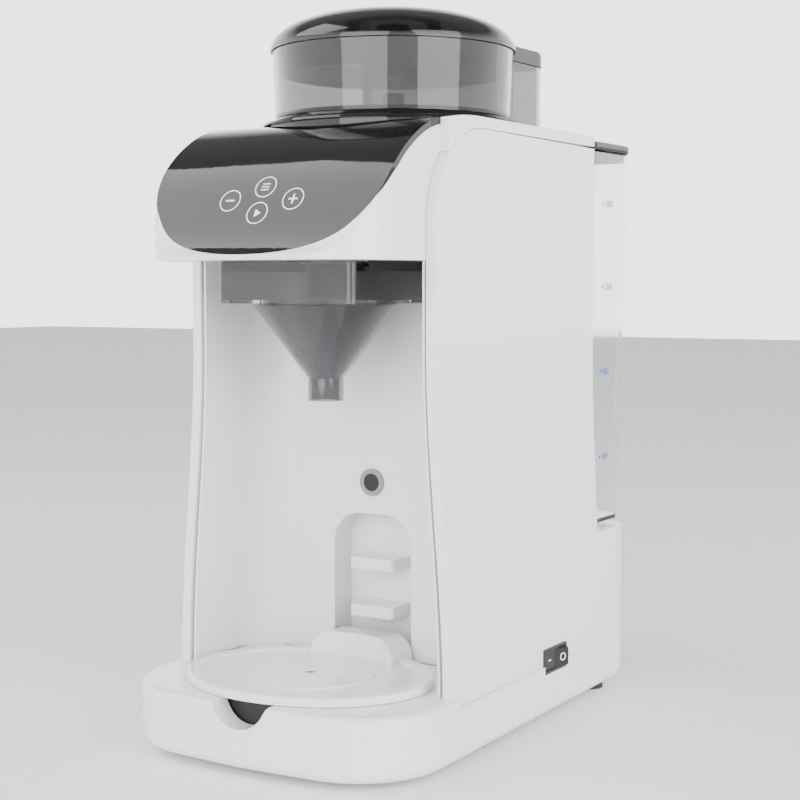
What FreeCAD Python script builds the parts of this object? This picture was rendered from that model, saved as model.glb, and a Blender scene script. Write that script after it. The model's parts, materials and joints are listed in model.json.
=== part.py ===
import FreeCAD, Part
import Sketcher
import math
import os

# Baby formula maker, in millimetres.
# X is to the right of someone facing the front, -Y is the front, Z is up.
# The origin is under the middle of the whole machine, on the table.

V = FreeCAD.Vector
doc = FreeCAD.newDocument("formula_maker")
sheet = doc.addObject("Spreadsheet::Sheet", "sizes")

SIZES = {
    "foot_height": 4.0, "foot_radius": 8.0, "foot_x": 67.0,
    "base_half_width": 89.3, "base_front_y": 151.3, "base_bow": 5.5,
    "base_front_corner": 48.0, "base_peak_round": 300.0,
    "base_rear_half_width": 80.0, "base_rear_y": 138.0, "base_rear_corner": 20.0,
    "seam_z": 32.3, "rim_top_z": 37.0, "shell_wall": 2.6, "base_edge_round": 7.0,
    "notch_radius": 19.5, "notch_axis_z": 42.0, "notch_lip": 2.2,
    "tray_x": 67.5, "tray_y": 56.0, "tray_axis_y": 89.0, "tray_thick": 2.4,
    "tray_rim": 1.8, "tray_ring_radius": 34.0, "drain_radius": 2.6,
    "hump_half_width": 27.0, "hump_top_z": 52.5, "hump_front_y": 52.0,
    "pan_wall": 1.8, "pan_floor_z": 12.0,
    "panel_front_y": 89.0, "panel_thick": 5.3, "panel_half_width": 75.3,
    "panel_flare": 9.8, "panel_rear_flare": 5.0, "panel_top_z": 320.0,
    "panel_arc": 47.0, "slot_y": 91.0, "shoulder_z": 97.0,
    "bay_back_y": 29.0, "liner_wall": 2.4, "bay_corner": 22.0,
    "recess_half_width": 25.0, "recess_top_z": 116.0, "recess_depth": 17.0,
    "recess_corner": 17.0, "ledge_half_width": 14.0, "ledge_thick": 6.4,
    "upper_ledge_z": 91.7, "lower_ledge_z": 65.5, "ledge_reach": 2.0,
    "sensor_z": 133.4, "sensor_radius": 7.5, "lens_radius": 4.9,
    "head_floor_z": 253.0, "head_half_width": 70.0, "head_top_z": 326.0,
    "head_wall": 2.6, "head_corner": 34.0, "visor_thick": 3.0, "visor_bottom_z": 255.7,
    "visor_half_width": 69.9,
    "hopper_y": 7.4, "hopper_radius": 64.4, "hopper_flare": 1.4,
    "hopper_wall": 2.2, "hopper_floor_z": 312.0, "hopper_rim_z": 367.0,
    "hopper_neck": 62.0, "collar_top_z": 330.5, "collar_radius": 71.5,
    "lid_radius": 67.1, "lid_height": 21.0, "lid_wall": 2.2,
    "skirt_depth": 13.0, "hub_radius": 8.0, "lobe_half_width": 49.0,
    "lobe_rear_y": 85.0, "lobe_corner": 15.0, "lid_pin_y": 65.5,
    "funnel_y": 73.4, "drawer_half_width": 41.7, "drawer_front_y": 111.3,
    "drawer_rear_y": 31.0, "drawer_bottom_z": 231.6, "drawer_wall": 1.8,
    "drawer_gap": 0.5, "cone_radius": 38.4, "spout_radius": 9.25,
    "spout_top_z": 192.5, "spout_bottom_z": 181.0, "rail_height": 5.2,
    "tank_half_width": 74.5, "tank_rear_y": 151.0, "tank_draft_x": 1.5,
    "tank_draft_y": 11.0, "tank_wall": 2.2, "tank_bottom_z": 100.0,
    "tank_top_z": 318.0, "tank_corner": 12.0, "tank_lid_thick": 6.0,
    "tank_valve_y": 118.0, "valve_radius": 6.0,
    "gear_radius": 24.0,
    "gear_thick": 6.0, "shaft_radius": 3.0, "motor_radius": 17.0,
    "motor_length": 32.0, "chute_radius": 10.0, "chute_y": 52.0,
    "switch_y": 29.0, "switch_z": 34.6, "switch_length": 28.0,
    "switch_height": 14.0, "running_gap": 0.3, "shaft_gap": 0.05,
    "screw_radius": 1.6, "screw_head": 3.2, "post_radius": 4.5,
    "screw_x": 50.0, "front_screw_y": 20.0, "rear_screw_y": 100.0,
    "pump_radius": 12.3, "pump_length": 40.0, "hose_radius": 4.0,
    "heater_x": 30.0, "heater_y": 75.0, "heater_width": 44.0, "heater_depth": 26.8,
    "heater_z": 96.0, "heater_height": 80.0, "riser_x": 58.0, "nozzle_x": 24.0,
    "board_x": 25.0, "board_width": 60.0, "board_height": 110.0, "board_z": 108.0,
    "board_thick": 1.6, "standoff": 6.8, "foot_front_y": 38.0, "foot_rear_y": 108.0,
    "cover_thick": 2.5, "gear_plate_z": 292.0, "gear_teeth": 36, "pinion_teeth": 12,
    "arm_reach": 55.0, "post_top_z": 345.0, "rocker_length": 23.0,
    "rocker_width": 10.0, "rocker_axis_x": 78.5, "switch_face_x": 83.4,
    "inlet_x": 38.0, "inlet_z": 61.0, "inlet_width": 28.0, "inlet_height": 22.0,
}

for row, (alias, number) in enumerate(SIZES.items(), start=1):
    sheet.set("A%d" % row, alias)
    sheet.set("B%d" % row, str(number))
    sheet.setAlias("B%d" % row, alias)
doc.recompute()

nodes = []


class Sizes:
    """Reads a driving size from the sheet by its name."""

    def __getattr__(self, alias):
        return float(sheet.get(alias))


d = Sizes()


def value_of(expression):
    """Lets the sheet work out an expression of its own named sizes."""
    sheet.set("D1", "=" + expression)
    sheet.recompute()
    return float(sheet.get("D1"))


def bind(thing, prop, expression):
    text = expression
    for alias in sorted(SIZES, key=len, reverse=True):
        text = replace_word(text, alias)
    thing.setExpression(prop, text)


def replace_word(text, alias):
    """Puts the sheet's name before each whole-word use of an alias."""
    out = ""
    i = 0
    while i < len(text):
        end = i + len(alias)
        before = i == 0 or not (text[i - 1].isalnum() or text[i - 1] in "_.")
        after = end >= len(text) or not (text[end].isalnum() or text[end] == "_")
        if text[i:end] == alias and before and after:
            out += "sizes." + alias
            i = end
        else:
            out += text[i]
            i += 1
    return out


def keep(thing, label):
    thing.Label = label
    nodes.append(thing)
    return thing


def place(thing, x="0", y="0", z="0"):
    for axis, expression in zip("xyz", (x, y, z)):
        bind(thing, "Placement.Base." + axis, expression)
    return thing


def box(name, size_x, size_y, size_z, x, y, z):
    """A box centred on x, from y and z upwards."""
    made = doc.addObject("Part::Box", name)
    for prop, expression in zip(("Length", "Width", "Height"), (size_x, size_y, size_z)):
        bind(made, prop, expression)
    return place(made, "%s - (%s) / 2" % (x, size_x), y, z)


AXES = {
    "z": FreeCAD.Rotation(),
    "y": FreeCAD.Rotation(V(1, 0, 0), -90),
    "x": FreeCAD.Rotation(V(0, 1, 0), 90),
}


def cylinder(name, radius, height, x, y, z, axis="z"):
    made = doc.addObject("Part::Cylinder", name)
    bind(made, "Radius", radius)
    bind(made, "Height", height)
    made.Placement = FreeCAD.Placement(V(), AXES[axis])
    return place(made, x, y, z)


def cut(name, base, tool):
    made = doc.addObject("Part::Cut", name)
    made.Base = base
    made.Tool = tool
    return made


def fuse(name, pieces):
    made = doc.addObject("Part::MultiFuse", name)
    made.Shapes = pieces
    return made


def group(name, pieces):
    made = doc.addObject("Part::Compound", name)
    made.Links = pieces
    return made


def origin_plane(body, role):
    return [f for f in body.Origin.OriginFeatures if f.Role == role][0]


def sketch_loop(body, name, role, corners):
    """A closed sketch whose corners are bound to expressions of the sheet."""
    sketch = body.newObject("Sketcher::SketchObject", name)
    sketch.AttachmentSupport = [(origin_plane(body, role), "")]
    sketch.MapMode = "FlatFace"
    spots = [V(value_of(a), value_of(b), 0) for a, b in corners]
    for i, spot in enumerate(spots):
        sketch.addGeometry(Part.LineSegment(spot, spots[(i + 1) % len(spots)]), False)
    for i in range(len(spots)):
        after = (i + 1) % len(spots)
        sketch.addConstraint(Sketcher.Constraint("Coincident", i, 2, after, 1))
    for i, (a, b) in enumerate(corners):
        for kind, expression, start in (("DistanceX", a, spots[i].x), ("DistanceY", b, spots[i].y)):
            number = sketch.addConstraint(Sketcher.Constraint(kind, -1, 1, i, 1, start))
            bind(sketch, "Constraints[%d]" % number, expression)
    return sketch


def turned(label, corners, x="0", y="0"):
    """A body turned about its own upright axis from (radius, height) corners."""
    body = doc.addObject("PartDesign::Body", label + "_body")
    sketch = sketch_loop(body, label + "_outline", "XZ_Plane", corners)
    turn = body.newObject("PartDesign::Revolution", label + "_turn")
    turn.Profile = sketch
    turn.ReferenceAxis = (sketch, ["V_Axis"])
    turn.Angle = 360
    place(body, x, y, "0")
    return keep(body, label)


def padded(label, role, corners, length, z="0"):
    """A body padded both ways from an origin plane."""
    body = doc.addObject("PartDesign::Body", label + "_body")
    sketch = sketch_loop(body, label + "_outline", role, corners)
    pad = body.newObject("PartDesign::Pad", label + "_pad")
    pad.Profile = sketch
    bind(pad, "Length", length)
    pad.Midplane = True
    place(body, "0", "0", z)
    return keep(body, label)


def shaped(label, shape):
    made = doc.addObject("Part::Feature", label + "_shape")
    made.Shape = shape
    return keep(made, label)


def curve(points):
    spline = Part.BSplineCurve()
    spline.interpolate(points)
    return spline.toShape()


def slab(outline, low, high):
    """Extrudes a flat outline face between two heights."""
    lowered = outline.copy()
    lowered.translate(V(0, 0, low))
    return lowered.extrude(V(0, 0, high - low))


def block(x0, x1, y0, y1, z0, z1):
    return Part.makeBox(x1 - x0, y1 - y0, z1 - z0, V(x0, y0, z0))


# Plan outline of the base

def base_outline():
    """The base seen from above, with sharp corners and a front that comes to a low peak."""
    side = d.base_half_width
    rear = d.base_rear_half_width
    shoulder_y = -d.base_front_y + d.base_bow
    corners = [V(side, shoulder_y, 0), V(0, -d.base_front_y - 1, 0), V(-side, shoulder_y, 0),
               V(-rear, d.base_rear_y, 0), V(rear, d.base_rear_y, 0)]
    return Part.Face(Part.makePolygon(corners + corners[:1]))


def base_block(low, high, inset=0.0):
    """The base outline between two heights, with its corners rounded."""
    outline = base_outline()
    if inset > 0:
        outline = Part.Face(outline.OuterWire.makeOffset2D(-inset, 2))
    made = slab(outline, low, high)
    upright = [e for e in made.Edges if e.BoundBox.ZLength > (high - low) / 2]
    rear = [e for e in upright if e.BoundBox.YMin > 0]
    peak = [e for e in upright if abs(e.BoundBox.XMin) < 1]
    front = [e for e in upright if e.BoundBox.YMin < 0 and abs(e.BoundBox.XMin) > 1]
    made = made.makeFillet(d.base_rear_corner - inset, rear)
    front = [e for e in made.Edges if same_spot(e, front)]
    made = made.makeFillet(d.base_front_corner - inset, front)
    peak = [e for e in made.Edges if same_spot(e, peak)]
    return made.makeFillet(d.base_peak_round, peak)


def same_spot(edge, others):
    """Whether an upright edge stands where one of the others does."""
    centre = edge.BoundBox.Center
    return any((centre - other.BoundBox.Center).Length < 0.01 for other in others)


def flat_edges(shape, height):
    """The edges that lie wholly at one height."""
    found = []
    for edge in shape.Edges:
        bounds = edge.BoundBox
        if abs(bounds.ZMin - height) < 0.01 and abs(bounds.ZMax - height) < 0.01:
            found.append(edge)
    return found


def notch_tool(radius):
    """The finger notch in the front edge: a round cutter lying front to back."""
    length = 30.0
    start = V(0, -d.base_front_y - 5, d.notch_axis_z)
    return Part.makeCylinder(radius, length, start, V(0, 1, 0))


def oval(x_radius, y_radius, axis_y):
    if x_radius >= y_radius:
        ellipse = Part.Ellipse(V(0, axis_y, 0), x_radius, y_radius)
    else:
        ellipse = Part.Ellipse(V(0, axis_y, 0), y_radius, x_radius)
    return Part.Face(Part.Wire(ellipse.toShape()))


def make_base_shell():
    outer = base_block(d.foot_height, d.seam_z)
    outer = outer.makeFillet(d.base_edge_round, flat_edges(outer, d.foot_height))
    floor = d.foot_height + d.shell_wall
    inner = base_block(floor, d.seam_z + 1, d.shell_wall)
    inner = inner.makeFillet(d.base_edge_round - d.shell_wall, flat_edges(inner, floor))
    shell = outer.cut(inner).cut(notch_tool(d.notch_radius))
    rocker_gap = block(60, 100, d.switch_y - d.switch_length / 2, d.switch_y + d.switch_length / 2,
                       d.switch_z - d.switch_height / 2, d.switch_z + d.switch_height / 2)
    return add_posts(shell.cut(rocker_gap), floor)


def screw_spots():
    """Where the case screws stand, one near each corner of the tall part."""
    return [(side * d.screw_x, y) for side in (-1, 1) for y in (d.front_screw_y, d.rear_screw_y)]


def add_posts(shell, floor):
    """Screw posts on the floor of the base, bored for the case screws."""
    for x, y in screw_spots():
        shell = shell.fuse(Part.makeCylinder(d.post_radius, d.seam_z - floor - 3, V(x, y, floor)))
    for x, y in screw_spots():
        shell = shell.cut(Part.makeCylinder(d.screw_radius + d.shaft_gap, 16, V(x, y, 0)))
    return shell.removeSplitter()


def make_base_rim():
    plate = base_block(d.seam_z, d.rim_top_z)
    plate = plate.makeFillet(3.5, flat_edges(plate, d.rim_top_z))
    front_end = -d.panel_front_y + 5
    front = plate.common(block(-100, 100, -200, front_end, 0, 100))
    deck_x = d.base_half_width - d.panel_thick - 9
    deck = block(-deck_x, deck_x, front_end, -d.bay_back_y - 1, d.seam_z, d.rim_top_z)
    hole = slab(oval(d.tray_x - 5, d.tray_y - 5, -d.tray_axis_y), 0, 100)
    rim = front.fuse(deck).cut(hole).cut(notch_tool(d.notch_radius - d.notch_lip))
    lip = notch_tool(d.notch_radius - 0.1).cut(notch_tool(d.notch_radius - d.notch_lip))
    lip = lip.common(base_block(0, d.seam_z + 2)).cut(hole)
    return rim.fuse(lip).removeSplitter()


# Side panels, flared at the foot

FLARE_STEPS = [step / 16 for step in range(17)]


def flare_at(share):
    """How much of the full flare is left, from 1 at the foot to 0 above the bay."""
    if share >= 0.62:
        return 0.0
    return 0.5 + 0.5 * math.cos(math.pi * share / 0.62)


def panel_wire(z, share, side, inset=0.0, thick=None):
    """One level section of a side panel, right when side is 1."""
    part = flare_at(share)
    front_x = d.panel_half_width - inset + d.panel_flare * part
    rear_x = d.panel_half_width - inset + d.panel_rear_flare * part
    wall = d.panel_thick if thick is None else thick
    rear_y = d.base_rear_y - d.base_rear_corner
    corners = [
        V(side * (front_x - wall), -d.panel_front_y, z), V(side * front_x, -d.panel_front_y, z),
        V(side * rear_x, rear_y, z), V(side * (rear_x - wall), rear_y, z),
    ]
    return Part.makePolygon(corners + corners[:1])


def panel_face():
    """The side view of a panel: round front top corner, cut back for the tank."""
    front = -d.panel_front_y - 1
    arc = d.panel_arc
    rear_y = d.base_rear_y - d.base_rear_corner + 1
    top = d.panel_top_z
    turn = arc * (1 - math.sqrt(0.5))
    a = V(0, -d.panel_front_y, top - arc)
    b = V(0, -d.panel_front_y + turn, top - turn)
    c = V(0, -d.panel_front_y + arc, top)
    spots = [c, V(0, d.slot_y, top - 1), V(0, d.slot_y, d.shoulder_z), V(0, rear_y, d.shoulder_z),
             V(0, rear_y, d.seam_z), V(0, 5 - d.panel_front_y, d.seam_z),
             V(0, 5 - d.panel_front_y, d.rim_top_z), V(0, front, d.rim_top_z),
             V(0, front, top - arc), a]
    edges = [Part.makeLine(p, q) for p, q in zip(spots, spots[1:])]
    edges.append(Part.Arc(a, b, c).toShape())
    return Part.Face(Part.Wire(edges))


def make_panel(side):
    height = d.panel_top_z - d.seam_z
    wires = [panel_wire(d.seam_z + height * s, s, side) for s in FLARE_STEPS]
    plate = Part.makeLoft(wires, True, False)
    view = panel_face()
    view.translate(V(-100, 0, 0))
    panel = plate.common(view.extrude(V(200, 0, 0)))
    if side > 0:
        y0 = d.switch_y - d.switch_length / 2
        z0 = d.switch_z - d.switch_height / 2
        panel = panel.cut(block(60, 100, y0, y0 + d.switch_length, z0, z0 + d.switch_height))
    return panel


# The bay between the panels

def liner_wire(z, share):
    """One level section of the bay lining, a wide U with round corners."""
    part = flare_at(share)
    gap = d.running_gap
    out = d.panel_half_width - d.panel_thick - gap + d.panel_flare * part * 0.93
    wall = d.liner_wall
    front = -d.panel_front_y + 1
    back = -d.bay_back_y
    corner = d.bay_corner
    turn = corner * (1 - math.sqrt(0.5))
    inn = out - wall
    wide = corner + wall
    wide_turn = wide * (1 - math.sqrt(0.5))
    rear = back + wall
    lower = out - 1.2

    def bend(a, b, c):
        return Part.Arc(a, b, c).toShape()

    edges = [
        Part.makeLine(V(-inn, front, z), V(-inn, back - corner, z)),
        bend(V(-inn, back - corner, z), V(-inn + turn, back - turn, z), V(-inn + corner, back, z)),
        Part.makeLine(V(-inn + corner, back, z), V(inn - corner, back, z)),
        bend(V(inn - corner, back, z), V(inn - turn, back - turn, z), V(inn, back - corner, z)),
        Part.makeLine(V(inn, back - corner, z), V(inn, front, z)),
        Part.makeLine(V(inn, front, z), V(lower, front, z)),
        Part.makeLine(V(lower, front, z), V(lower, rear - wide, z)),
        bend(V(lower, rear - wide, z), V(lower - wide_turn, rear - wide_turn, z),
             V(lower - wide, rear, z)),
        Part.makeLine(V(lower - wide, rear, z), V(-lower + wide, rear, z)),
        bend(V(-lower + wide, rear, z), V(-lower + wide_turn, rear - wide_turn, z),
             V(-lower, rear - wide, z)),
        Part.makeLine(V(-lower, rear - wide, z), V(-lower, front, z)),
        Part.makeLine(V(-lower, front, z), V(-inn, front, z)),
    ]
    return Part.Wire(edges)


def arch(half, top, corner, y0, y1, floor):
    """An upright round-topped block running back from y0 to y1."""
    turn = corner * (1 - math.sqrt(0.5))
    edges = [
        Part.makeLine(V(-half, y0, floor), V(-half, y0, top - corner)),
        Part.Arc(V(-half, y0, top - corner), V(-half + turn, y0, top - turn),
                 V(-half + corner, y0, top)).toShape(),
        Part.makeLine(V(-half + corner, y0, top), V(half - corner, y0, top)),
        Part.Arc(V(half - corner, y0, top), V(half - turn, y0, top - turn),
                 V(half, y0, top - corner)).toShape(),
        Part.makeLine(V(half, y0, top - corner), V(half, y0, floor)),
        Part.makeLine(V(half, y0, floor), V(-half, y0, floor)),
    ]
    return Part.Face(Part.Wire(edges)).extrude(V(0, y1 - y0, 0))


def ledge(top):
    """A small shelf in the recess, with round front corners."""
    y0 = -d.bay_back_y - d.ledge_reach
    y1 = -d.bay_back_y + d.recess_depth + 0.5
    half = d.ledge_half_width
    plate = block(-half, half, y0, y1, top - d.ledge_thick, top)
    upright = [e for e in plate.Edges if abs(e.BoundBox.YMax - y0) < 0.01 and e.BoundBox.ZLength > 1]
    return plate.makeFillet(2.8, upright)


def make_bay_liner():
    height = d.panel_top_z - d.seam_z
    top = d.head_floor_z
    shares = [s for s in FLARE_STEPS if d.seam_z + height * s < top - 15]
    foot_share = (d.rim_top_z - d.seam_z) / height
    wires = [liner_wire(d.rim_top_z, foot_share)]
    wires += [liner_wire(d.seam_z + height * s, s) for s in shares[1:]]
    wires.append(liner_wire(top, 1.0))
    liner = Part.makeLoft(wires, True, False)
    wall = d.liner_wall
    back = -d.bay_back_y
    pocket = arch(d.recess_half_width + wall, d.recess_top_z + wall, d.recess_corner + wall,
                  back + wall / 2, back + d.recess_depth + wall, d.rim_top_z)
    hollow = arch(d.recess_half_width, d.recess_top_z, d.recess_corner,
                  back - 1, back + d.recess_depth, d.rim_top_z - 1)
    eye = Part.makeCylinder(d.sensor_radius + 0.1, 10, V(0, back - 2, d.sensor_z), V(0, 1, 0))
    liner = liner.fuse(pocket).cut(hollow).cut(eye)
    liner = liner.fuse(ledge(d.upper_ledge_z)).fuse(ledge(d.lower_ledge_z))
    return liner.removeSplitter()


# The head above the bay

HOOD_PROFILE = (
    (0.0, 0.0), (9.0, 9.5), (17.5, 24.0), (26.5, 38.5), (34.5, 47.5), (46.0, 56.5),
    (60.0, 64.0), (78.0, 68.6), (100.0, 70.3),
)
VISOR_OUTLINE = (
    (0.0, 0.0), (0.34, 0.02), (0.62, 0.087), (0.755, 0.16), (0.88, 0.285), (0.945, 0.38),
    (0.99, 0.54), (1.0, 0.68),
)


def hood_line(offset=0.0):
    """Side view of the hood face, from the chin up and over to the flat top."""
    start_y = -d.base_front_y + chin_step()
    rise = d.head_top_z - d.visor_bottom_z
    scale = rise / HOOD_PROFILE[-1][1]
    points = []
    for run, up in HOOD_PROFILE:
        points.append(V(0, start_y + run, d.visor_bottom_z + up * scale))
    if offset == 0.0:
        return points
    moved = []
    for i, p in enumerate(points):
        before = points[max(i - 1, 0)]
        after = points[min(i + 1, len(points) - 1)]
        along = (after - before).normalize()
        moved.append(p + V(0, along.z, -along.y) * offset)
    return moved


def chin_step():
    """How far the chin of the head stands behind the front of the base."""
    return 3.5


def hood_block(offset, bottom, half, back_y):
    """The solid under the hood line, moved in by an offset."""
    points = hood_line(offset)
    low_front = V(0, points[0].y + (points[0].z - bottom) * 0.2, bottom)
    top_end = V(0, back_y, points[-1].z)
    edges = [curve(points), Part.makeLine(points[-1], top_end),
             Part.makeLine(top_end, V(0, back_y, bottom)),
             Part.makeLine(V(0, back_y, bottom), low_front),
             Part.makeLine(low_front, points[0])]
    face = Part.Face(Part.Wire(edges))
    face.translate(V(-half, 0, 0))
    return face.extrude(V(2 * half, 0, 0))


def shield(grow, drop):
    """Front view of the visor, a shield with a round foot, as a deep block."""
    rise = d.head_top_z - d.visor_bottom_z
    half = d.visor_half_width + grow
    right = []
    for share, up in VISOR_OUTLINE:
        right.append(V(half * share, 0, d.visor_bottom_z - drop + up * (rise + drop)))
    left = [V(-p.x, 0, p.z) for p in reversed(right[1:])]
    top = d.head_top_z + 10
    edges = [curve(left + right), Part.makeLine(right[-1], V(half, 0, top)),
             Part.makeLine(V(half, 0, top), V(-half, 0, top)),
             Part.makeLine(V(-half, 0, top), left[0])]
    face = Part.Face(Part.Wire(edges))
    face.translate(V(0, -d.base_front_y - 20, 0))
    return face.extrude(V(0, 200, 0))


def well(radius, low, high):
    return Part.makeCylinder(radius, high - low, V(0, -d.hopper_y, low))


def make_visor():
    outer = hood_block(0.0, d.visor_bottom_z - 12, 90, -40)
    inner = hood_block(d.visor_thick, d.visor_bottom_z - 12, 91, -39)
    skin = outer.cut(inner).common(shield(0.0, 0.0))
    skin = skin.cut(block(-100, 100, -62, 100, 0, 400))
    return skin.cut(well(d.collar_radius + d.running_gap, 200, 400))


def head_plan(inset, low, high):
    """The head seen from above, with round front corners, between two heights."""
    half = d.head_half_width - d.running_gap - inset
    y0 = -d.base_front_y + chin_step() + inset
    back = d.slot_y - d.shell_wall - d.running_gap - inset
    made = block(-half, half, y0, back, low, high)
    front = [e for e in made.Edges if e.BoundBox.ZLength > 5 and e.BoundBox.YMax < y0 + 1]
    return made.makeFillet(d.head_corner - inset, front)


def make_head_shell():
    """The white head: flush around the visor, hollow, with a slot over the drawer."""
    wall = d.head_wall
    floor = d.head_floor_z
    solid = hood_block(0.0, floor, 90, d.slot_y).common(head_plan(0.0, floor, 400))
    seat = d.visor_thick + d.running_gap
    recess = hood_block(-1.0, floor, 90, -40).cut(hood_block(seat, floor, 91, -39))
    recess = recess.common(shield(0.15, 0.15)).cut(block(-100, 100, -61.8, 100, 0, 400))
    solid = solid.fuse(cap_block()).cut(recess)
    hollow = hood_block(seat + wall, floor + wall, 90, d.slot_y)
    hollow = hollow.common(head_plan(wall, floor + wall, 400))
    shell = solid.cut(hollow)
    shell = shell.cut(well(d.collar_radius - 3, floor + 20, 400))
    slot = block(-d.drawer_half_width + 4, d.drawer_half_width - 4,
                 -d.drawer_front_y + 5, -d.drawer_rear_y - 9, floor - 1, floor + wall + 1)
    riser = Part.makeCylinder(d.hose_radius + 1.0, 10, V(d.riser_x, d.heater_y, floor - 3))
    return shell.cut(slot).cut(riser).removeSplitter()


def cap_block():
    """The top cap that runs out flush with the panels above their round corners."""
    arc = d.panel_arc + d.running_gap
    top = d.panel_top_z + d.running_gap
    centre = V(0, -d.panel_front_y + d.panel_arc, d.panel_top_z - d.panel_arc)
    hood = hood_block(0.0, d.head_floor_z, d.panel_half_width, d.slot_y)
    a, b, c = [centre + V(0, -math.cos(turn), math.sin(turn)) * arc
               for turn in (math.pi / 4, math.pi * 3 / 8, math.pi / 2)]
    high = d.head_top_z + 20
    spots = [c, V(0, d.slot_y, top), V(0, d.slot_y, high), V(0, a.y, high), a]
    edges = [Part.makeLine(p, q) for p, q in zip(spots, spots[1:])]
    edges.append(Part.Arc(a, b, c).toShape())
    view = Part.Face(Part.Wire(edges))
    view.translate(V(-100, 0, 0))
    return hood.common(view.extrude(V(200, 0, 0)))


# Rear shoulder and the wall in front of the tank

def make_rear_cover():
    """The rear of the base with its round corners and the shelf the tank stands on."""
    front = d.base_rear_y - d.base_rear_corner + 0.2
    gap = d.running_gap
    outer = base_block(d.seam_z, d.shoulder_z)
    inner = base_block(d.seam_z - 1, d.shoulder_z - d.shell_wall, d.shell_wall)
    shell = outer.cut(inner).common(block(-100, 100, front, 200, 0, 200))
    half = d.panel_half_width - d.panel_thick - gap
    shelf = block(-half, half, d.slot_y - d.shell_wall, front, d.shoulder_z - d.shell_wall, d.shoulder_z)
    wall = block(-half, half, d.slot_y - d.shell_wall, d.slot_y, d.shoulder_z, d.head_floor_z + 60)
    socket = Part.makeCylinder(d.valve_radius + 5, 20, V(0, d.tank_valve_y, d.shoulder_z - 10))
    half = d.inlet_width / 2
    inlet = block(-d.inlet_x - half, -d.inlet_x + half, d.base_rear_y - 10, d.base_rear_y + 5,
                  d.inlet_z - d.inlet_height / 2, d.inlet_z + d.inlet_height / 2)
    cover = shell.fuse(shelf).fuse(wall)
    for side in (-1, 1):
        for up in (8, d.board_height - 8):
            x = -d.board_x + side * (d.board_width / 2 - 6)
            start = V(x, d.slot_y - d.shell_wall - d.standoff, d.board_z + up)
            cover = cover.fuse(Part.makeCylinder(2.5, d.standoff + 0.5, start, V(0, 1, 0)))
    return cover.cut(socket).cut(inlet).removeSplitter()


def tank_section(z, inset):
    """One level section of the tank, narrower towards the bottom."""
    share = (z - d.tank_bottom_z) / (d.tank_top_z - d.tank_bottom_z)
    half = d.tank_half_width - d.tank_draft_x * (1 - share) - inset
    rear = d.tank_rear_y - d.tank_draft_y * (1 - share) - inset
    front = d.slot_y + 1.2 + inset
    c = d.tank_corner - inset
    k = c * (1 - math.sqrt(0.5))
    small = 3.0
    s = small * (1 - math.sqrt(0.5))
    edges = []
    turns = (
        (V(half, rear - c, z), V(half - k, rear - k, z), V(half - c, rear, z)),
        (V(-half + c, rear, z), V(-half + k, rear - k, z), V(-half, rear - c, z)),
        (V(-half, front + small, z), V(-half + s, front + s, z), V(-half + small, front, z)),
        (V(half - small, front, z), V(half - s, front + s, z), V(half, front + small, z)),
    )
    for i, (a, b, c_end) in enumerate(turns):
        edges.append(Part.Arc(a, b, c_end).toShape())
        edges.append(Part.makeLine(c_end, turns[(i + 1) % 4][0]))
    return Part.Wire(edges)


def tank_block(low, high, inset):
    return Part.makeLoft([tank_section(low, inset), tank_section(high, inset)], True, True)


def make_tank():
    wall = d.tank_wall
    outer = tank_block(d.tank_bottom_z, d.tank_top_z, 0.0)
    inner = tank_block(d.tank_bottom_z + wall, d.tank_top_z + 0.0, wall)
    tank = outer.cut(inner)
    neck = Part.makeCylinder(d.valve_radius + 2.0, 7, V(0, d.tank_valve_y, d.tank_bottom_z - 7))
    bore = Part.makeCylinder(d.valve_radius, 30, V(0, d.tank_valve_y, d.tank_bottom_z - 8))
    tank = tank.fuse(neck).cut(bore)
    pin = Part.makeCylinder(1.6, 180, V(-90, tank_pin_y(), d.tank_top_z + d.running_gap + 3), V(1, 0, 0))
    for ear in tank_ears(0.0):
        tank = tank.fuse(ear.cut(pin))
    return tank.removeSplitter()


def tank_pin_y():
    """The tank lid's pin lies just behind the lid's front edge."""
    return d.slot_y + 1.2 + 3.0


def tank_ears(grow):
    """Two small ears on the tank's front corners that hold the lid's pin."""
    ears = []
    y = tank_pin_y()
    top = d.tank_top_z
    for x in (-66, 62):
        base = block(x - grow, x + 4 + grow, y - 2.4 - grow, y + 2.4 + grow, top - 1, top + 3.3)
        knob = Part.makeCylinder(2.4 + grow, 4 + 2 * grow, V(x - grow, y, top + 3.3), V(1, 0, 0))
        ears.append(base.fuse(knob))
    return ears


def make_tank_lid():
    """A flat lid with a finger well, and a shallow plug that drops inside the tank."""
    gap = d.running_gap
    low = d.tank_top_z + gap
    plate = tank_block(low, low + d.tank_lid_thick, 0.0)
    front = [e for e in flat_edges(plate, low) if e.BoundBox.YMax < d.slot_y + 2]
    plate = plate.makeFillet(2.9, front)
    upper = [e for e in flat_edges(plate, low + d.tank_lid_thick) if e.BoundBox.YMax < d.slot_y + 2]
    plate = plate.makeFillet(2.0, upper)
    plug = tank_block(low - 4, low + 0.5, d.tank_wall + 1.6)
    plug = plug.cut(tank_block(low - 5, low + 1, d.tank_wall + 3.4))
    plug = plug.common(block(-90, 90, tank_pin_y() + 4, 200, 0, 400))
    rear = d.tank_rear_y
    well_block = block(-26, 26, rear - 42, rear - 16, low - 14, low + 1)
    well_hole = block(-24.2, 24.2, rear - 40.2, rear - 17.8, low - 12, low + 21)
    lid = plate.fuse(plug).fuse(well_block)
    pin = Part.makeCylinder(1.6, 180, V(-90, tank_pin_y(), low + 3), V(1, 0, 0))
    lid = lid.cut(well_hole).cut(pin)
    for ear in tank_ears(0.5):
        side = V(ear.BoundBox.XMin, tank_pin_y(), low + 3)
        swing = Part.makeCylinder(4.2, ear.BoundBox.XLength, side, V(1, 0, 0))
        lid = lid.cut(ear).cut(swing)
    return lid.removeSplitter()


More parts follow.
